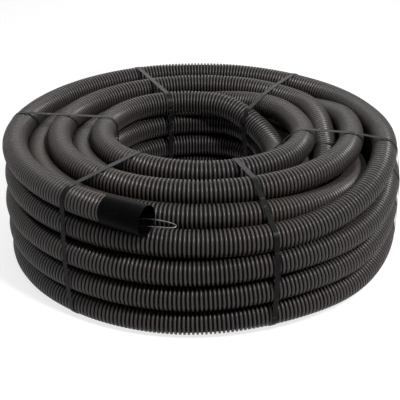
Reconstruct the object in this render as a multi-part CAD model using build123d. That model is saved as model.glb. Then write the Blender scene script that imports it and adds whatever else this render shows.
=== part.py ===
from build123d import *
import math
import os

# Corrugated conduit, wound into a coil that lies flat, with a coupler on its free end.
# Millimetres. The coil's axis is Z and the floor is z = 0.
# The coil is wound clockwise, seen from above, from its free end at the top of the outer layer.

# Conduit
conduit_od = 63.0
conduit_wall = 5.5

# Winding: five layers that nest in each other, counted inwards from the outer one
outer_turn_radius = 467.0
row_clearance = 3.8
nest_clearance = 0.92034
layer_count = 5
full_layer_rows = 5
groove_depth = 15.0

# The outer layer drops one row in each turn, here on one side of the coil
drop_tilt = 19.5
drop_angle = 13.5

# At the foot the outer layer's last turn dives in to the next layer
dive_radius = 225.0
dive_tilt = 18.0
dive_angle = 60.0

# Free end: the last stretch opens out of the round and runs straight into the coupler
tail_opening = 75.0
tail_start_angle = 240.0
tail_straight = 12.0

# Coupler
coupler_length = 105.0
coupler_wall = 2.7
coupler_clearance = 0.3
stop_height = 3.0
stop_width = 3.0
stop_gap = 0.5
coupler_chamfer = 1.0

# Straps, by their place round the coil
strap_width = 13.0
strap_thickness = 0.8
strap_clearance = 0.3
front_right_angle = 320.4
front_left_angle = 264.0
left_angle = 202.3
back_left_angle = 143.5
back_right_angle = 81.5
right_angle = 19.0

# Draw wire: out of the mouth, round a tight bend and back
wire_diameter = 2.0
wire_route = [
    (20, -479, 276),
    (60, -478, 277),
    (100, -474, 284),
    (140, -466, 294),
    (175, -460, 299),
    (205, -456, 299),
    (221, -459, 295),
    (219, -468, 289),
    (200, -473, 287),
    (175, -476, 286),
    (150, -477, 284),
    (128, -479, 281),
]
wire_radii = [80, 200, 200, 150, 60, 5, 5, 60, 150, 150]

# Worked out from the sizes above
tube_radius = conduit_od / 2
bore_radius = tube_radius - conduit_wall
bottom_height = strap_thickness + strap_clearance + tube_radius
row_pitch = conduit_od + row_clearance
layer_step = math.sqrt((conduit_od + nest_clearance) ** 2 - (row_pitch / 2) ** 2)
tail_bend_radius = outer_turn_radius + tail_opening
tail_in_coupler = (coupler_length - stop_width) / 2 - stop_gap
strap_angles = {
    "strap_front_right": front_right_angle,
    "strap_front_left": front_left_angle,
    "strap_left": left_angle,
    "strap_back_left": back_left_angle,
    "strap_back_right": back_right_angle,
    "strap_right": right_angle,
}


def row_height(row):
    """Height of a turn's centre. Row 1 is the top one, and the nested layers lie on half rows."""
    return bottom_height + (full_layer_rows - row) * row_pitch


def layer_radius(layer):
    return outer_turn_radius - layer * layer_step


def layer_rows(layer):
    """Rows of a layer: the even ones are full, the odd ones lie in the hollows between them."""
    if layer % 2 == 0:
        return [1 + i for i in range(full_layer_rows)]
    return [1.5 + i for i in range(full_layer_rows - 1)]


def outward(angle):
    return Vector(math.cos(math.radians(angle)), math.sin(math.radians(angle)), 0)


def clockwise(angle):
    return Vector(math.sin(math.radians(angle)), -math.cos(math.radians(angle)), 0)


# One drop is two equal arcs, the first tilted down about its tangent and the second levelling out
tilt = math.radians(drop_tilt)
drop_radius = outer_turn_radius * math.cos(tilt) + row_pitch / 2 * math.sin(tilt)
drop_arc = math.acos(1 - row_pitch / 2 / math.sin(tilt) / drop_radius)
drop_span = 2 * math.degrees(math.atan(math.tan(drop_arc) * math.cos(tilt)))
drop_start = drop_angle + drop_span / 2
drop_end = drop_angle - drop_span / 2


def section_face(place, direction, open_bore):
    """Section of the conduit at a place on its centre line."""
    plane = Plane(origin=place, z_dir=direction)
    outer = plane * Circle(tube_radius)
    if open_bore:
        return (outer - plane * Circle(bore_radius)).face()
    return outer.face()


def bent_tube(start, direction, towards_centre, bend_radius, angle, open_bore=False):
    """One arc of the conduit. Gives the solid, and the place and direction at its end."""
    centre = start + towards_centre * bend_radius
    axis = Axis(centre, direction.cross(towards_centre))
    solid = revolve(section_face(start, direction, open_bore), axis, angle)
    turn = math.radians(angle)
    side = towards_centre * -bend_radius
    end = centre + side * math.cos(turn) + direction * bend_radius * math.sin(turn)
    end_direction = direction * math.cos(turn) + towards_centre * math.sin(turn)
    return solid.solid(), end, end_direction


def drop(row):
    """The conduit drops from one row to the next."""
    start = outward(drop_start) * outer_turn_radius + Vector(0, 0, row_height(row))
    down = outward(drop_start) * -math.cos(tilt) + Vector(0, 0, -math.sin(tilt))
    angle = math.degrees(drop_arc)
    first = bent_tube(start, clockwise(drop_start), down, drop_radius, angle)[0]
    level = outward(drop_end) * outer_turn_radius + Vector(0, 0, row_height(row + 1))
    up = outward(drop_end) * -math.cos(tilt) + Vector(0, 0, math.sin(tilt))
    second = bent_tube(level, clockwise(drop_end) * -1, up, drop_radius, angle)[0]
    return [first, second]


def level_turn(row, first_angle, last_angle):
    """The conduit lies level in a row, from one angle clockwise to another."""
    start = outward(first_angle) * outer_turn_radius + Vector(0, 0, row_height(row))
    inwards = outward(first_angle) * -1
    span = (first_angle - last_angle) % 360
    return bent_tube(start, clockwise(first_angle), inwards, outer_turn_radius, span)[0]


def dive():
    """The last turn of the outer layer leaves its row, inwards and up into the next layer."""
    start = outward(drop_start) * outer_turn_radius + Vector(0, 0, row_height(full_layer_rows))
    lean = math.radians(dive_tilt)
    inwards = outward(drop_start) * -math.cos(lean) + Vector(0, 0, math.sin(lean))
    return bent_tube(start, clockwise(drop_start), inwards, dive_radius, dive_angle)[0]


def free_end():
    """The last stretch, from the round of the coil to the cut end, and where the coupler begins."""
    start = outward(tail_start_angle) * outer_turn_radius + Vector(0, 0, row_height(1))
    inwards = outward(tail_start_angle) * -1
    back = clockwise(tail_start_angle) * -1
    bend, place, direction = bent_tube(start, back, inwards, tail_bend_radius, 270 - tail_start_angle, True)
    straight = extrude(section_face(place, direction, True), tail_straight + tail_in_coupler).solid()
    return [bend, straight], place + direction * tail_straight


def outer_layer():
    """The outer layer as wound: it is open from its free end to where it joins the round."""
    pieces, coupler_place = free_end()
    pieces.append(level_turn(1, tail_start_angle, drop_start))
    pieces += drop(1)
    for row in range(2, full_layer_rows):
        pieces.append(level_turn(row, drop_end, drop_start))
        pieces += drop(row)
    pieces.append(level_turn(full_layer_rows, drop_end, drop_start))
    pieces.append(dive())
    return pieces, coupler_place


def core_outline():
    """The plain core, which reaches up into the grooves between the turns."""
    corners_top = [(outer_turn_radius, row_height(2))]
    corners_foot = [(outer_turn_radius, row_height(full_layer_rows - 0.5))]
    for layer in range(1, layer_count):
        rows = layer_rows(layer)
        corners_top.append((layer_radius(layer), row_height(rows[0])))
        corners_foot.append((layer_radius(layer), row_height(rows[-1])))
    through_centres = make_face(Polyline(*corners_top, *reversed(corners_foot), close=True))
    return offset(through_centres, tube_radius - groove_depth)


def inner_layers():
    """The nested layers as one turned ring, whose turns show on its top, its foot and its bore."""
    section = core_outline()
    for layer in range(1, layer_count):
        rows = layer_rows(layer)
        shown = rows if layer == layer_count - 1 else (rows[0], rows[-1])
        for row in shown:
            section += Pos(layer_radius(layer), row_height(row)) * Circle(tube_radius)
    return revolve(Plane.XZ * section, Axis.Z, 360).solid()


def conduit():
    pieces, coupler_place = outer_layer()
    coil = inner_layers().fuse(*pieces)
    return coil, coupler_place


def outer_turns(angle):
    """Where the outer layer's top and lowest turns cross a radial plane: radius, height and the
    room that a strap's width needs over a turn that crosses at a slant."""
    past = (drop_start - angle) % 360
    if past < drop_span:
        near = min(past, drop_span - past)
        ahead = math.radians(near)
        reach = math.hypot(math.cos(ahead), math.cos(tilt) * math.sin(ahead)) * drop_radius
        lead = math.atan2(math.cos(tilt) * math.sin(ahead), math.cos(ahead))
        aside = outer_turn_radius - drop_radius * math.cos(tilt)
        turn = lead + math.asin(aside * math.sin(ahead) / reach)
        radius = drop_radius * math.sin(turn) / math.sin(ahead)
        fallen = drop_radius * (1 - math.cos(turn)) * math.sin(tilt)
        if past > near:
            fallen = row_pitch - fallen
        along = math.cos(turn) * math.cos(ahead) + math.sin(turn) * math.cos(tilt) * math.sin(ahead)
        room = slant_room(math.acos(along))
        lowest = row_height(full_layer_rows - 1) - fallen
        return [(radius, row_height(1) - fallen, room), (radius, lowest, room)]
    top = (outer_turn_radius, row_height(1), 0)
    if tail_start_angle < angle < 270:
        away = math.radians(angle - tail_start_angle)
        slant = math.asin(tail_opening * math.sin(away) / tail_bend_radius)
        radius = tail_bend_radius * math.cos(slant) - tail_opening * math.cos(away)
        top = (radius + slant_room(slant), row_height(1), 0)
    if angle >= 270 or angle < drop_end:
        top = (outer_turn_radius, row_height(2), 0)
    return [top, (outer_turn_radius, row_height(full_layer_rows), 0)]


def slant_room(slant):
    return tube_radius * (1 / math.cos(slant) - 1) + strap_width / 2 * math.tan(slant)


def strap(angle):
    """One closed band round the whole winding, drawn tight over the turns that stand out."""
    turns = outer_turns(angle)
    for layer in range(1, layer_count):
        rows = layer_rows(layer)
        turns.append((layer_radius(layer), row_height(rows[0]), 0))
        turns.append((layer_radius(layer), row_height(rows[-1]), 0))

    def outline(grow):
        rounds = [Pos(place, height) * Circle(tube_radius + spare + grow) for place, height, spare in turns]
        return make_hull((Sketch() + rounds).edges())

    plane = Plane(origin=(0, 0, 0), x_dir=outward(angle), z_dir=clockwise(angle))
    band = outline(strap_clearance + strap_thickness) - outline(strap_clearance)
    return extrude(plane * band, strap_width / 2, both=True).solid()


def coupler(rear):
    """A sleeve with a stop in its middle, whose rear mouth is at the given place."""
    inner = tube_radius + coupler_clearance
    outer = inner + coupler_wall
    half = coupler_length / 2
    wall = Pos(half, (inner + outer) / 2) * Rectangle(coupler_length, coupler_wall)
    wall = chamfer(wall.vertices(), coupler_chamfer)
    stop = Pos(half, inner - stop_height / 2) * Rectangle(stop_width, stop_height + coupler_wall)
    sleeve = revolve(wall + stop, Axis.X, 360)
    return (Pos(*rear) * sleeve).solid()


def draw_wire():
    path = FilletPolyline(*wire_route, radius=wire_radii)
    section = Plane(origin=path @ 0, z_dir=path % 0) * Circle(wire_diameter / 2)
    wire = sweep(section, path)
    runs = path.length * math.pi * wire_diameter ** 2 / 4
    print("wire length", round(path.length, 1), "volume against section times length", round(wire.volume / runs, 4))
    return wire.solid()


os.makedirs("parts", exist_ok=True)
coil, coupler_place = conduit()
export_step(coil, "parts/conduit.step")
export_step(coupler(coupler_place), "parts/coupler.step")
for name, angle in strap_angles.items():
    export_step(strap(angle), "parts/" + name + ".step")
export_step(draw_wire(), "parts/draw_wire.step")
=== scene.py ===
import bisect
import bpy
import math
from mathutils import Matrix, Vector


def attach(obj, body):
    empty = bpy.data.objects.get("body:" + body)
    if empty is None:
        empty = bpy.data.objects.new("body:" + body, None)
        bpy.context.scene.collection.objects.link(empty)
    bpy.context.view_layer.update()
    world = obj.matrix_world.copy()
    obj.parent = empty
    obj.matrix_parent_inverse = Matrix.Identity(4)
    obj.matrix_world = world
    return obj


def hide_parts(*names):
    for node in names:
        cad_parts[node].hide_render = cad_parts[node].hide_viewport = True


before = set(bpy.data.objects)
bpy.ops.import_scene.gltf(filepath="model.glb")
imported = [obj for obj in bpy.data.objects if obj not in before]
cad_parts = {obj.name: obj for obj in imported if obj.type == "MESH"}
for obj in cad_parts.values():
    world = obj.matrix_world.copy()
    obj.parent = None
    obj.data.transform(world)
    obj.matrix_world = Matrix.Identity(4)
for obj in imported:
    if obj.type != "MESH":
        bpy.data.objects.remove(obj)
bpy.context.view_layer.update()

# Sizes in metres. Those that the solids have too are the same there, apart from the straps' gap.
conduit_od = 0.063
conduit_wall = 0.0055
crest = conduit_od / 2
rib_pitch = 0.0095
rib_depth = 0.0047
rib_merge = 0.0002
groove_width = rib_pitch * 0.42
flank_width = rib_pitch * 0.08
bore_shown = 0.30
bore_step = 0.015
bore_sides = 40
plug_thickness = 0.002
plug_hole = 0.0004
outer_radius = 0.467
layer_step = 0.0545
row_pitch = 0.0668
rows = 5
foot_height = 0.0326
top_height = foot_height + (rows - 1) * row_pitch
tail_radius = 0.542
tail_turn = 30.0
tail_run = 0.0625
strap_width = 0.013
strap_thickness = 0.0008
strap_gap = 0.0002
strap_edge = 0.0002
strap_sides = 40
strap_merge = 0.0015
strap_places = {
    "strap_front_right": (320.4, 0.0),
    "strap_front_left": (264.0, 0.0),
    "strap_left": (202.3, 0.0),
    "strap_back_left": (143.5, 0.0),
    "strap_back_right": (83.0, 6.4),
    "strap_right": (19.0, 0.0),
}
strap_middle = 0.34
weld_height = 0.14
weld_length = 0.035
coupler_rear = 0.0495
coupler_length = 0.105
coupler_bore = crest + 0.0003
coupler_outer = coupler_bore + 0.0027
coupler_chamfer = 0.001
coupler_edge = 0.0003
coupler_sides = 72
stop_height = 0.003
stop_width = 0.003
stop_slope = 0.0004
smooth_angle = math.radians(35)
same_point = 0.00001

# The coil is wound clockwise from its free end, whose turn begins at this place round the coil.
# The guide for its centre line has a point at every step. Both are in degrees.
free_end = 270.0
guide_step = 2


# The winding
# A place is told by how far it is wound on, in degrees. The turns hold their row and their
# layer except where they move over, and each move is eased in and out.
row_moves = []
layer_moves = []


def wound(place, turn):
    """How far a place round the coil is wound on, in a turn counted from the free end."""
    return free_end - place + 360 * turn


def to_row(first, last, turn, amount):
    """The turn goes down by this many rows between two places. Minus is up."""
    row_moves.append((wound(first, turn), wound(last, turn), amount))


def aside(first, last, turn, amount):
    """The turn moves out by this much between two places. Minus is inwards."""
    layer_moves.append((wound(first, turn), wound(last, turn), amount))


def swell(first, full, until, last, turn, amount):
    """The turn stands out or in by this much for a stretch, and comes back."""
    aside(first, full, turn, amount)
    aside(until, last, turn, -amount)


# Outer layer, which drops a row in each turn and stands out where it does
to_row(39, -37, 0, 1)
for turn in (1, 2, 3):
    to_row(56, -19, turn, 0.8)
    to_row(-24, -69, turn, 0.2)
aside(239, 205, 0, 0.005)
aside(190, 140, 0, 0.006)
aside(125, 75, 0, -0.016)
aside(51, 19, 0, 0.009)
aside(-4, -49, 0, -0.002)
aside(76, 31, 1, 0.014)
aside(-4, -49, 1, -0.005)
aside(-110, -160, 1, -0.008)
aside(76, 31, 2, 0.013)
aside(-4, -49, 2, -0.008)
aside(-110, -160, 2, -0.0075)
aside(76, 31, 3, 0.0155)
aside(-4, -49, 3, -0.014)
aside(-110, -160, 3, -0.0025)
aside(79, 11, 4, -0.054)
to_row(26, -64, 4, -0.5)

# Second layer, which climbs back up in the hollows
to_row(81, -39, 5, -1)
to_row(71, -49, 6, -1)
to_row(61, -59, 7, -1)
swell(81, 41, 6, -49, 7, -0.010)
swell(231, 171, 101, 71, 8, 0.009)
to_row(76, 41, 8, -0.5)
aside(96, -55, 8, -layer_step)

# Third layer, which drops again, pressed inwards where the layer outside it crosses
swell(231, 171, 101, 71, 9, 0.009)
for turn in (9, 10, 11, 12):
    to_row(69, -6, turn, 1)
swell(73, 31, 11, -54, 9, -0.034)
swell(91, 41, -19, -64, 10, -0.017)
swell(91, 41, -19, -64, 11, -0.009)
swell(91, 41, -19, -64, 12, -0.009)
aside(83, 11, 13, -0.0715)
aside(-19, -64, 13, 0.017)
to_row(26, -64, 13, -0.5)

# Fourth layer, which climbs
to_row(81, -39, 14, -1)
to_row(71, -49, 15, -1)
to_row(61, -59, 16, -1)
swell(91, 46, -19, -64, 14, -0.018)
swell(91, 46, -19, -64, 15, -0.018)
swell(91, 46, 6, -44, 16, -0.036)
to_row(136, 61, 17, -0.5)
aside(126, 41, 17, -0.038)
aside(21, -89, 17, -0.0165)

# Innermost layer, which drops down the eye of the coil
to_row(111, 31, 18, 1)
to_row(106, 26, 19, 1)
to_row(101, 21, 20, 1)
to_row(96, 16, 21, 1)
swell(171, 71, 1, -64, 18, -0.048)
swell(106, 41, -19, -64, 19, -0.046)
swell(106, 41, -24, -69, 20, -0.028)
swell(106, 41, -24, -69, 21, -0.028)
inner_end = wound(73, 22)


def eased(moves, along):
    total = 0.0
    for first, last, amount in moves:
        part = min(max((along - first) / (last - first), 0.0), 1.0)
        total += amount * part * part * (3 - 2 * part)
    return total


def section_place(along):
    """Distance from the coil's axis and height of the conduit's centre."""
    radius = outer_radius + eased(layer_moves, along)
    return radius, top_height - eased(row_moves, along) * row_pitch


def centre(along):
    angle = math.radians(free_end - along)
    radius, height = section_place(along)
    return Vector((radius * math.cos(angle), radius * math.sin(angle), height))


def tail_places():
    """The free end, from inside the coupler back to the round of the coil."""
    joins = math.radians(free_end - tail_turn)
    spare = tail_radius - outer_radius
    middle = Vector((-spare * math.cos(joins), -spare * math.sin(joins), top_height))
    places = [middle + Vector((tail_run, -tail_radius, 0))]
    for step in range(int(tail_turn / guide_step)):
        turn = math.radians(free_end - guide_step * step)
        places.append(middle + tail_radius * Vector((math.cos(turn), math.sin(turn), 0)))
    return places


def deselect():
    bpy.ops.object.select_all(action="DESELECT")


def take(obj):
    """Makes this the one object that the operators work on."""
    deselect()
    obj.select_set(True)
    bpy.context.view_layer.objects.active = obj
    return obj


def hand_over(obj, name, finish, solid):
    """Names a finished piece, gives it its finish and lets it ride in place of its solid."""
    obj.name = name
    obj.data.name = name
    obj.data.materials.clear()
    obj.data.materials.append(finish)
    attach(obj, "root")
    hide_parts(solid)


def guide_line():
    """The conduit's centre line, as a guide that the ribs are laid along."""
    steps = range(int(tail_turn / guide_step), int(inner_end / guide_step) + 1)
    along = [guide_step * step for step in steps]
    places = tail_places() + [centre(a) for a in along]
    data = bpy.data.curves.new("winding", "CURVE")
    data.dimensions = "3D"
    data.twist_mode = "Z_UP"
    data.use_deform_bounds = False
    line = data.splines.new("POLY")
    line.points.add(len(places) - 1)
    for point, place in zip(line.points, places):
        point.co = (*place, 1)
    reach = [0.0]
    for before, after in zip(places, places[1:]):
        reach.append(reach[-1] + (after - before).length)
    obj = bpy.data.objects.new("winding", data)
    bpy.context.scene.collection.objects.link(obj)
    wound_on = [0.0] * len(tail_places()) + along
    return obj, places, wound_on, reach


winding, line_places, wound_on, reach = guide_line()


def length_at(along):
    """Length of conduit from its cut end to where it is wound on this far."""
    for index, value in enumerate(wound_on):
        if value >= along:
            return reach[index]
    return reach[-1]


def turned(profile, sides):
    """A shell turned about the X axis: a ring, drawn on from point to point of its profile."""
    deselect()
    start, radius = profile[0]
    bpy.ops.mesh.primitive_circle_add(
        vertices=sides, radius=radius, location=(start, 0, 0), rotation=(0, math.pi / 2, 0)
    )
    obj = bpy.context.object
    bpy.ops.object.transform_apply(location=True, rotation=True, scale=True)
    bpy.ops.object.mode_set(mode="EDIT")
    for before, after in zip(profile, profile[1:]):
        forward, widen = after[0] - before[0], after[1] / before[1]
        bpy.ops.mesh.extrude_region_move(TRANSFORM_OT_translate={"value": (forward, 0, 0)})
        bpy.ops.transform.resize(value=(1, widen, widen))
    bpy.ops.mesh.select_all(action="SELECT")
    bpy.ops.mesh.remove_doubles(threshold=same_point)
    bpy.ops.mesh.normals_make_consistent(inside=False)
    bpy.ops.object.mode_set(mode="OBJECT")
    return obj


def mark_crests(obj):
    """Tells the finish what is crest, 1, and what is groove, 0; where it is 0, the finish paints
    shade.
    """
    data = obj.data
    mark = data.attributes.new("crest", "FLOAT", "POINT")
    for vertex, value in zip(data.vertices, mark.data):
        radius = math.hypot(vertex.co.y, vertex.co.z)
        value.value = 1.0 if radius > crest - rib_depth / 2 else 0.0


def rib(sides, start):
    """One rib of the conduit: a groove, then a crest between its two flanks."""
    foot = crest - rib_depth
    rise = start + groove_width
    end = start + rib_pitch
    profile = [(start, foot), (rise, foot), (rise + flank_width, crest)]
    profile += [(end - flank_width, crest), (end, foot)]
    obj = turned(profile, sides)
    mark_crests(obj)
    return obj


def wind_on(obj):
    """Bends a piece that was made along the X axis to the conduit's centre line."""
    bent = take(obj).modifiers.new("wound", "CURVE")
    bent.object = winding
    bent.deform_axis = "POS_X"
    bpy.ops.object.modifier_apply(modifier="wound")


def ribbed_stretch(name, first, last, sides=24):
    """A stretch of conduit between two places of the winding."""
    begin = round(length_at(first) / rib_pitch)
    finish = round(length_at(last) / rib_pitch)
    obj = take(rib(sides, begin * rib_pitch))
    copies = obj.modifiers.new("ribs", "ARRAY")
    copies.count = finish - begin
    copies.use_relative_offset = False
    copies.use_constant_offset = True
    copies.constant_offset_displace = (rib_pitch, 0, 0)
    copies.use_merge_vertices = True
    copies.merge_threshold = rib_merge
    bpy.ops.object.modifier_apply(modifier="ribs")
    wind_on(obj)
    bpy.ops.object.shade_smooth()
    hand_over(obj, name, black_conduit, "conduit")


def cut_end():
    """The conduit's cut end and its smooth bore, which is plugged where the mouth hides it."""
    bore, wall = crest - conduit_wall, crest - rib_depth
    back = bore_shown + plug_thickness
    stations = [bore_step * index for index in range(1, round(bore_shown / bore_step) + 1)]
    profile = [(0, wall), (0, bore)] + [(place, bore) for place in stations]
    profile += [(bore_shown, plug_hole), (back, plug_hole), (back, wall)]
    profile += [(place, wall) for place in reversed(stations)] + [(0, wall)]
    obj = turned(profile, bore_sides)
    # Everything here lies below the crest line, so the cut end, the bore and the plug all take
    # the near-black groove colour, which is painted shade.
    mark_crests(obj)
    wind_on(obj)
    bpy.ops.object.shade_smooth_by_angle(angle=smooth_angle)
    hand_over(obj, "conduit_bore", black_conduit, "conduit")


def coupler():
    """A plain sleeve with a stop in its middle, chamfered at both mouths."""
    half = coupler_length / 2
    edge = coupler_chamfer
    stop = coupler_bore - stop_height
    outside = [(0, coupler_outer - edge), (edge, coupler_outer)]
    outside += [(coupler_length - edge, coupler_outer), (coupler_length, coupler_outer - edge)]
    inside = [(coupler_length, coupler_bore + edge), (coupler_length - edge, coupler_bore)]
    front, rear = half + stop_width / 2, half - stop_width / 2
    inside += [(front + stop_slope, coupler_bore), (front, stop)]
    inside += [(rear, stop), (rear - stop_slope, coupler_bore)]
    inside += [(edge, coupler_bore), (0, coupler_bore + edge)]
    obj = turned(outside + inside + outside[:1], coupler_sides)
    middle = line_places[0]
    take(obj).location = (coupler_rear, middle.y, middle.z)
    bpy.ops.object.transform_apply(location=True, rotation=True, scale=True)
    rounding = obj.modifiers.new("edges", "BEVEL")
    rounding.width = coupler_edge
    rounding.segments = 2
    bpy.ops.object.modifier_apply(modifier="edges")
    bpy.ops.object.shade_smooth_by_angle(angle=smooth_angle)
    hand_over(obj, "coupler_sleeve", coupler_black, "coupler")


# Straps
def crossings(foot, outward, around):
    """Where the winding crosses an upright plane: its distance from the plane's foot, its height,
    and how far it drifts to each side within a strap's width."""
    found = []
    for before, after in zip(line_places, line_places[1:]):
        ahead, past = [(foot - place).dot(around) for place in (before, after)]
        if ahead >= 0 > past and before.dot(outward) > 0:
            place = before.lerp(after, ahead / (ahead - past))
            run = after - before
            slant = run.angle(around)
            room = strap_width / 2 * math.tan(slant) + crest * (1 / math.cos(slant) - 1)
            drift = (run - around * run.dot(around)).normalized() * room
            found.append(((place - foot).dot(outward), place.z, drift))
    return found


def drawn_round(turns, foot, outward, around, heading):
    """The open band that lies tight round the turns: their hull, without its two end faces."""
    deselect()
    rounds = []
    for distance, height, drift in turns:
        for side in (-1, 1):
            spot = foot + outward * distance + side * drift
            spot.z = max(spot.z + height, foot_height)
            bpy.ops.mesh.primitive_cylinder_add(
                vertices=strap_sides,
                radius=crest + strap_gap,
                depth=strap_width,
                location=spot,
                rotation=(math.pi / 2, 0, heading),
            )
            rounds.append(bpy.context.object)
    for obj in rounds:
        obj.select_set(True)
    bpy.ops.object.join()
    band = bpy.context.object
    bpy.ops.object.transform_apply(location=True, rotation=True, scale=True)
    bpy.ops.object.mode_set(mode="EDIT")
    bpy.ops.mesh.select_all(action="SELECT")
    bpy.ops.mesh.convex_hull(join_triangles=True)
    bpy.ops.mesh.remove_doubles(threshold=strap_merge)
    bpy.ops.mesh.select_mode(type="FACE")
    bpy.ops.mesh.select_all(action="DESELECT")
    bpy.ops.object.mode_set(mode="OBJECT")
    for face in band.data.polygons:
        face.select = abs(face.normal.dot(around)) > 0.5
    bpy.ops.object.mode_set(mode="EDIT")
    bpy.ops.mesh.delete(type="FACE")
    bpy.ops.object.mode_set(mode="OBJECT")
    return band


def welded_end(band, nearest, outward):
    """The stretch in the eye of the coil where the band's two ends lie on each other."""
    end = band.copy()
    end.data = band.data.copy()
    bpy.context.scene.collection.objects.link(end)
    take(end)
    bpy.ops.object.mode_set(mode="EDIT")
    for side in (-1, 1):
        height = weld_height + side * weld_length / 2
        bpy.ops.mesh.select_all(action="SELECT")
        bpy.ops.mesh.bisect(plane_co=(0, 0, height), plane_no=(0, 0, side), clear_outer=True)
    bpy.ops.mesh.select_all(action="SELECT")
    bpy.ops.mesh.bisect(plane_co=nearest, plane_no=outward, clear_outer=True)
    bpy.ops.object.mode_set(mode="OBJECT")
    return end


def thicken(obj, thickness):
    """Gives a band its thickness, outwards, and breaks its edges."""
    take(obj)
    grown = obj.modifiers.new("thickness", "SOLIDIFY")
    grown.thickness = thickness
    grown.offset = 1
    grown.use_even_offset = True
    bpy.ops.object.modifier_apply(modifier="thickness")
    rounding = obj.modifiers.new("edges", "BEVEL")
    rounding.width = strap_edge
    rounding.segments = 1
    bpy.ops.object.modifier_apply(modifier="edges")


def strap(name, place, skew):
    """A band drawn tight round all the turns, with its ends welded together in the coil's eye."""
    angle = math.radians(place)
    heading = math.radians(place + skew)
    outward = Vector((math.cos(heading), math.sin(heading), 0))
    around = Vector((math.sin(heading), -math.cos(heading), 0))
    middle = strap_middle * Vector((math.cos(angle), math.sin(angle), 0))
    foot = middle - outward * middle.dot(outward)
    turns = crossings(foot, outward, around)
    band = drawn_round(turns, foot, outward, around, heading)
    outline = girth(band, outward)
    nearest = foot + outward * min(distance for distance, height, drift in turns)
    end = welded_end(band, nearest, outward)
    thicken(band, strap_thickness)
    thicken(end, 2 * strap_thickness)
    take(band)
    end.select_set(True)
    bpy.ops.object.join()
    lay_flat(band, outward, around, outline)
    bpy.ops.object.shade_smooth_by_angle(angle=smooth_angle)
    hand_over(band, name + "_band", strap_band, name)


def girth(band, outward):
    """The band's outline in its own plane: its middle, and the length run to each bearing."""
    points = [Vector((vertex.co.dot(outward), vertex.co.z)) for vertex in band.data.vertices]
    middle = sum(points, Vector((0, 0))) / len(points)
    points.sort(key=lambda point: bearing(point, middle))
    bearings = [bearing(point, middle) for point in points]
    lengths = [0.0]
    for before, after in zip(points, points[1:]):
        lengths.append(lengths[-1] + (after - before).length)
    total = lengths[-1] + (points[0] - points[-1]).length
    bearings = [bearings[-1] - math.tau] + bearings + [bearings[0] + math.tau]
    lengths = [lengths[-1] - total] + lengths + [total]
    return middle, bearings, lengths


def bearing(point, middle):
    return math.atan2(point.y - middle.y, point.x - middle.x)


def lay_flat(band, outward, around, outline):
    """Lays the band out flat for its finish: metres along it, and metres across it."""
    middle, bearings, lengths = outline
    data = band.data
    flat = data.uv_layers.new(name="along the band")

    def turned_to(place):
        return bearing(Vector((place.dot(outward), place.z)), middle)

    for face in data.polygons:
        first = turned_to(face.center)
        for corner in face.loop_indices:
            place = data.vertices[data.loops[corner].vertex_index].co
            there = first + math.remainder(turned_to(place) - first, math.tau)
            index = min(max(bisect.bisect_right(bearings, there), 1), len(bearings) - 1)
            before, after = bearings[index - 1], bearings[index]
            part = (there - before) / (after - before) if after > before else 0.0
            along = lengths[index - 1] + part * (lengths[index] - lengths[index - 1])
            flat.data[corner].uv = (along, place.dot(around))


# Finishes
def group(name, inputs, outputs):
    tree = bpy.data.node_groups.new(name, "ShaderNodeTree")
    for label, kind, value in inputs:
        socket = tree.interface.new_socket(label, in_out="INPUT", socket_type=kind)
        socket.default_value = value
    for label, kind in outputs:
        tree.interface.new_socket(label, in_out="OUTPUT", socket_type=kind)
    return tree, tree.nodes.new("NodeGroupInput"), tree.nodes.new("NodeGroupOutput")


def joined(tree, kind, inputs, **settings):
    """Adds a node, sets what its settings name and feeds its inputs with values or sockets."""
    node = tree.nodes.new(kind)
    for label, value in settings.items():
        setattr(node, label, value)
    for label, value in inputs.items():
        if isinstance(value, bpy.types.NodeSocket):
            tree.links.new(value, node.inputs[label])
        else:
            node.inputs[label].default_value = value
    return node


def maths(tree, operation, first, second):
    node = joined(tree, "ShaderNodeMath", {0: first, 1: second}, operation=operation)
    return node.outputs[0]


def noise(tree, place, scale, detail, roughness=0.5):
    """Noise with about this many spots in a metre."""
    node = joined(tree, "ShaderNodeTexNoise", {
        "Vector": place, "Scale": scale, "Detail": detail, "Roughness": roughness,
    })
    return node.outputs["Fac"]


def rising(tree, value, low, high):
    """A mask that goes from 0 to 1 while the value goes from low to high."""
    node = joined(tree, "ShaderNodeMapRange", {"Value": value, "From Min": low, "From Max": high})
    return node.outputs[0]


def share(tree, mask, low, high):
    """A value that goes from low to high while the mask goes from 0 to 1."""
    node = joined(tree, "ShaderNodeMapRange", {"Value": mask, "To Min": low, "To Max": high})
    return node.outputs[0]


def fine_grain():
    """The grain that a mould or a die leaves: a height, for how many grains lie in a metre."""
    inputs = [("Place", "NodeSocketVector", (0, 0, 0)), ("Per metre", "NodeSocketFloat", 900)]
    tree, given, put = group("fine grain", inputs, [("Height", "NodeSocketFloat")])
    height = noise(tree, given.outputs["Place"], given.outputs["Per metre"], 3.0, 0.6)
    tree.links.new(height, put.inputs["Height"])
    return tree


def scuffs():
    """Fine rubbed streaks and small marks, as a mask: 0 is untouched."""
    inputs = [("Place", "NodeSocketVector", (0, 0, 0)), ("Amount", "NodeSocketFloat", 0.3)]
    tree, given, put = group("scuffs", inputs, [("Mask", "NodeSocketFloat")])
    stretched = joined(tree, "ShaderNodeMapping", {
        "Vector": given.outputs["Place"], "Rotation": (0.3, 0.5, 0.9), "Scale": (60, 60, 420),
    })
    streaks = noise(tree, stretched.outputs[0], 1.0, 4.0)
    patches = noise(tree, given.outputs["Place"], 14.0, 2.0)
    sharp = rising(tree, streaks, 0.56, 0.72)
    both = maths(tree, "MULTIPLY", sharp, rising(tree, patches, 0.42, 0.66))
    some = maths(tree, "MULTIPLY", both, given.outputs["Amount"])
    tree.links.new(some, put.inputs["Mask"])
    return tree


grain_group = fine_grain()
scuff_group = scuffs()


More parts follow.
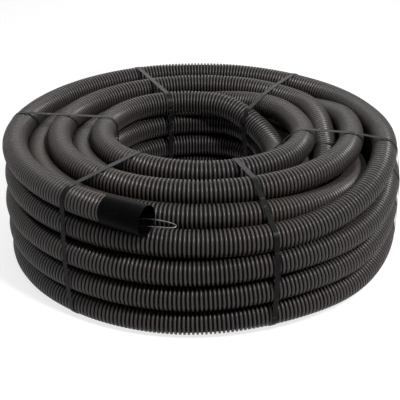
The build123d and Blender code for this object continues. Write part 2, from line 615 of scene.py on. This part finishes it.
def material(name, roughness=0.5, metallic=0.0):
    made = bpy.data.materials.new(name)
    made.use_nodes = True
    shader = made.node_tree.nodes["Principled BSDF"]
    shader.inputs["Roughness"].default_value = roughness
    shader.inputs["Metallic"].default_value = metallic
    return made, made.node_tree, shader


def mix(tree, factor, first, second):
    node = joined(tree, "ShaderNodeMix", {"Factor": factor}, data_type="RGBA")
    for label, value in (("A", first), ("B", second)):
        socket = next(item for item in node.inputs if item.name == label and item.type == "RGBA")
        if isinstance(value, bpy.types.NodeSocket):
            tree.links.new(value, socket)
        else:
            socket.default_value = (*value, 1)
    return next(item for item in node.outputs if item.type == "RGBA")


def rubbed(tree, place, amount):
    """Where a piece is rubbed, as a mask."""
    node = joined(
        tree, "ShaderNodeGroup", {"Place": place, "Amount": amount}, node_tree=scuff_group
    )
    return node.outputs["Mask"]


def grain(tree, place, per_metre):
    node = joined(
        tree, "ShaderNodeGroup", {"Place": place, "Per metre": per_metre}, node_tree=grain_group
    )
    return node.outputs["Height"]


def bumped(tree, shader, height, distance, strength):
    bump = joined(tree, "ShaderNodeBump", {
        "Height": height, "Distance": distance, "Strength": strength,
    })
    tree.links.new(bump.outputs["Normal"], shader.inputs["Normal"])


def black_polyethylene():
    """The conduit: extruded black polyethylene, rubbed on its crests, its grooves darkened to
    near black by painted shade.
    """
    made, tree, shader = material("black conduit")
    shader.inputs["Specular IOR Level"].default_value = 0.05
    shader.inputs["Coat Roughness"].default_value = 0.34
    place = tree.nodes.new("ShaderNodeTexCoord").outputs["Object"]
    crests = joined(tree, "ShaderNodeAttribute", {}, attribute_name="crest").outputs["Fac"]
    broad = noise(tree, place, 5.0, 3.0)
    spots = noise(tree, place, 38.0, 2.0)
    worn = rubbed(tree, place, 0.55)
    warm = rising(tree, broad, 0.42, 0.68)
    faded = rising(tree, spots, 0.35, 0.75)
    top = mix(tree, warm, (0.034, 0.0285, 0.028), (0.040, 0.031, 0.027))
    top = mix(tree, share(tree, faded, 0.0, 0.35), top, (0.050, 0.043, 0.042))
    top = mix(tree, worn, top, (0.10, 0.09, 0.087))
    # Painted shade: the groove colour is near black for the shade that falls in the grooves, not
    # a colour of the polyethylene.
    groove = (0.0030, 0.0027, 0.0027)
    high = rising(tree, crests, 0.25, 0.95)
    tree.links.new(mix(tree, high, groove, top), shader.inputs["Base Color"])
    tree.links.new(share(tree, high, 0.0, 0.55), shader.inputs["Coat Weight"])
    rough = maths(tree, "ADD", share(tree, faded, 0.46, 0.56), share(tree, worn, 0.0, 0.25))
    tree.links.new(rough, shader.inputs["Roughness"])
    bumped(tree, shader, grain(tree, place, 700), 0.0002, 0.35)
    return made


def embossed_strap():
    """Strapping band: dark polypropylene, rolled with a fine diamond pattern, whose hollows are
    darkened by painted shade.
    """
    made, tree, shader = material("strap band", 0.36)
    shader.inputs["Specular IOR Level"].default_value = 0.08
    flat = joined(tree, "ShaderNodeUVMap", {}, uv_map="along the band").outputs["UV"]
    place = tree.nodes.new("ShaderNodeTexCoord").outputs["Object"]
    waves = []
    for lean in (math.radians(45), math.radians(-45)):
        leaning = joined(tree, "ShaderNodeMapping", {"Vector": flat, "Rotation": (0, 0, lean)})
        waves.append(joined(tree, "ShaderNodeTexWave", {
            "Vector": leaning.outputs[0], "Scale": 110.0, "Distortion": 0.0,
        }).outputs["Fac"])
    diamonds = maths(tree, "MULTIPLY", waves[0], waves[1])
    # Painted shade: the colour is darker in the hollows of the rolled diamonds than on their
    # raised parts.
    raised = share(tree, diamonds, 0.0, 0.6)
    emboss_colour_with_painted_shade = mix(tree, raised, (0.004, 0.0037, 0.0037), (0.009, 0.0085, 0.0085))
    colour = mix(tree, rubbed(tree, place, 0.4), emboss_colour_with_painted_shade, (0.15, 0.15, 0.15))
    tree.links.new(colour, shader.inputs["Base Color"])
    bumped(tree, shader, diamonds, 0.0002, 0.6)
    return made


def moulded_coupler():
    """The coupler: moulded, deep black and smooth, with a faint grain and a few scratches."""
    made, tree, shader = material("coupler black")
    shader.inputs["Specular IOR Level"].default_value = 0.02
    place = tree.nodes.new("ShaderNodeTexCoord").outputs["Object"]
    worn = rubbed(tree, place, 0.25)
    colour = mix(tree, worn, (0.0010, 0.0010, 0.0010), (0.02, 0.02, 0.02))
    tree.links.new(colour, shader.inputs["Base Color"])
    tree.links.new(share(tree, worn, 0.42, 0.62), shader.inputs["Roughness"])
    bumped(tree, shader, grain(tree, place, 1400), 0.0001, 0.3)
    return made


def galvanised_wire():
    """The draw wire: zinc-coated steel, mottled and dulled to grey."""
    made, tree, shader = material("drawn steel", metallic=1.0)
    place = tree.nodes.new("ShaderNodeTexCoord").outputs["Object"]
    mottle = noise(tree, place, 260.0, 3.0)
    spread = rising(tree, mottle, 0.35, 0.65)
    colour = mix(tree, spread, (0.09, 0.09, 0.085), (0.24, 0.24, 0.225))
    tree.links.new(colour, shader.inputs["Base Color"])
    tree.links.new(share(tree, spread, 0.28, 0.46), shader.inputs["Roughness"])
    bumped(tree, shader, mottle, 0.0001, 0.3)
    return made


black_conduit = black_polyethylene()
strap_band = embossed_strap()
coupler_black = moulded_coupler()
drawn_steel = galvanised_wire()


# Draw wire
wire_places = [
    (0.020, -0.479, 0.276),
    (0.060, -0.478, 0.277),
    (0.100, -0.474, 0.285),
    (0.140, -0.466, 0.2965),
    (0.172, -0.461, 0.3000),
    (0.203, -0.457, 0.2990),
    (0.2185, -0.4575, 0.2975),
    (0.2195, -0.467, 0.2960),
    (0.203, -0.4715, 0.2940),
    (0.178, -0.475, 0.2910),
    (0.150, -0.4775, 0.2865),
    (0.128, -0.479, 0.281),
]


def draw_wire():
    data = bpy.data.curves.new("draw wire", "CURVE")
    data.dimensions = "3D"
    data.bevel_depth = 0.001
    data.bevel_resolution = 4
    data.resolution_u = 16
    data.use_fill_caps = True
    line = data.splines.new("NURBS")
    line.points.add(len(wire_places) - 1)
    for point, place in zip(line.points, wire_places):
        point.co = (*place, 1)
    line.order_u = 3
    line.use_endpoint_u = True
    obj = bpy.data.objects.new("draw_wire_line", data)
    bpy.context.scene.collection.objects.link(obj)
    data.materials.append(drawn_steel)
    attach(obj, "root")
    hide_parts("draw_wire")


draw_wire()

# The conduit, in stretches: what lies inside the coil has ribs of fewer sides than what shows
ribbed_stretch("conduit_outer_top", 0, wound(-24, 1))
ribbed_stretch("conduit_outer_middle", wound(-24, 1), wound(-24, 3))
ribbed_stretch("conduit_outer_foot", wound(-24, 3), wound(40, 5), 20)
ribbed_stretch("conduit_second_inside", wound(40, 5), wound(61, 7), 10)
ribbed_stretch("conduit_second_top", wound(61, 7), wound(0, 9))
ribbed_stretch("conduit_third_inside", wound(0, 9), wound(80, 12), 10)
ribbed_stretch("conduit_third_foot", wound(80, 12), wound(40, 14), 16)
ribbed_stretch("conduit_fourth_inside", wound(40, 14), wound(61, 16), 10)
ribbed_stretch("conduit_fourth_top", wound(61, 16), wound(0, 19))
ribbed_stretch("conduit_eye", wound(0, 19), inner_end)
cut_end()
coupler()
for name, (place, skew) in strap_places.items():
    strap(name, place, skew)


# Surroundings
def shows_white(tree, dim, white):
    """A level that is white to the camera and in reflections, and dim as light on the object."""
    rays = tree.nodes.new("ShaderNodeLightPath").outputs
    seen = rays["Is Camera Ray"]
    for ray in ("Is Glossy Ray", "Is Transmission Ray"):
        seen = maths(tree, "MAXIMUM", seen, rays[ray])
    return share(tree, seen, dim, white)


def surroundings():
    deselect()
    bpy.ops.mesh.primitive_plane_add(size=30, location=(0, 0, -0.0002))
    floor = bpy.context.object
    floor.name = "floor"
    pale, tree, shader = material("pale floor", 0.9)
    shader.inputs["Base Color"].default_value = (0.30, 0.30, 0.30, 1)
    shader.inputs["Specular IOR Level"].default_value = 0.1
    shader.inputs["Emission Color"].default_value = (1, 1, 1, 1)
    tree.links.new(shows_white(tree, 0.0, 0.78), shader.inputs["Emission Strength"])
    floor.data.materials.append(pale)

    world = bpy.data.worlds.new("studio")
    world.use_nodes = True
    bpy.context.scene.world = world
    tree = world.node_tree
    backdrop = tree.nodes["Background"]
    backdrop.inputs["Color"].default_value = (1, 1, 1, 1)
    tree.links.new(shows_white(tree, 0.03, 1.0), backdrop.inputs["Strength"])


lamp_aim = Vector((0, 0, 0.15))


def lamp(name, place, size, power):
    data = bpy.data.lights.new(name, "AREA")
    data.shape = "DISK"
    data.size = size
    data.energy = power
    obj = bpy.data.objects.new(name, data)
    bpy.context.scene.collection.objects.link(obj)
    obj.location = place
    obj.rotation_euler = (lamp_aim - Vector(place)).to_track_quat("-Z", "Y").to_euler()


surroundings()
lamp("overhead", (0.0, -0.3, 3.2), 2.4, 45)
lamp("behind", (-1.5, 2.6, 2.1), 2.4, 22)
lamp("front", (2.45, -0.95, 3.2), 0.5, 155)


# Camera, at the photograph's viewing angle
def camera():
    data = bpy.data.cameras.new("camera")
    data.lens = 84.15
    obj = bpy.data.objects.new("camera", data)
    bpy.context.scene.collection.objects.link(obj)
    round_by, down, roll = math.radians(31), math.radians(26.30), math.radians(-0.31)
    level = Vector((math.cos(round_by), math.sin(round_by), 0))
    ahead = Vector((-math.sin(round_by), math.cos(round_by), 0))
    back = Vector((0, 0, math.sin(down))) - ahead * math.cos(down)
    rise = back.cross(level)
    right = level * math.cos(roll) + rise * math.sin(roll)
    obj.rotation_euler = Matrix((right, back.cross(right), back)).transposed().to_euler()
    obj.location = (1.1547, -1.9218, 1.215)
    bpy.context.scene.camera = obj


camera()
bpy.data.objects.remove(winding)
bpy.context.scene.view_settings.view_transform = "Standard"

bpy.context.view_layer.update()
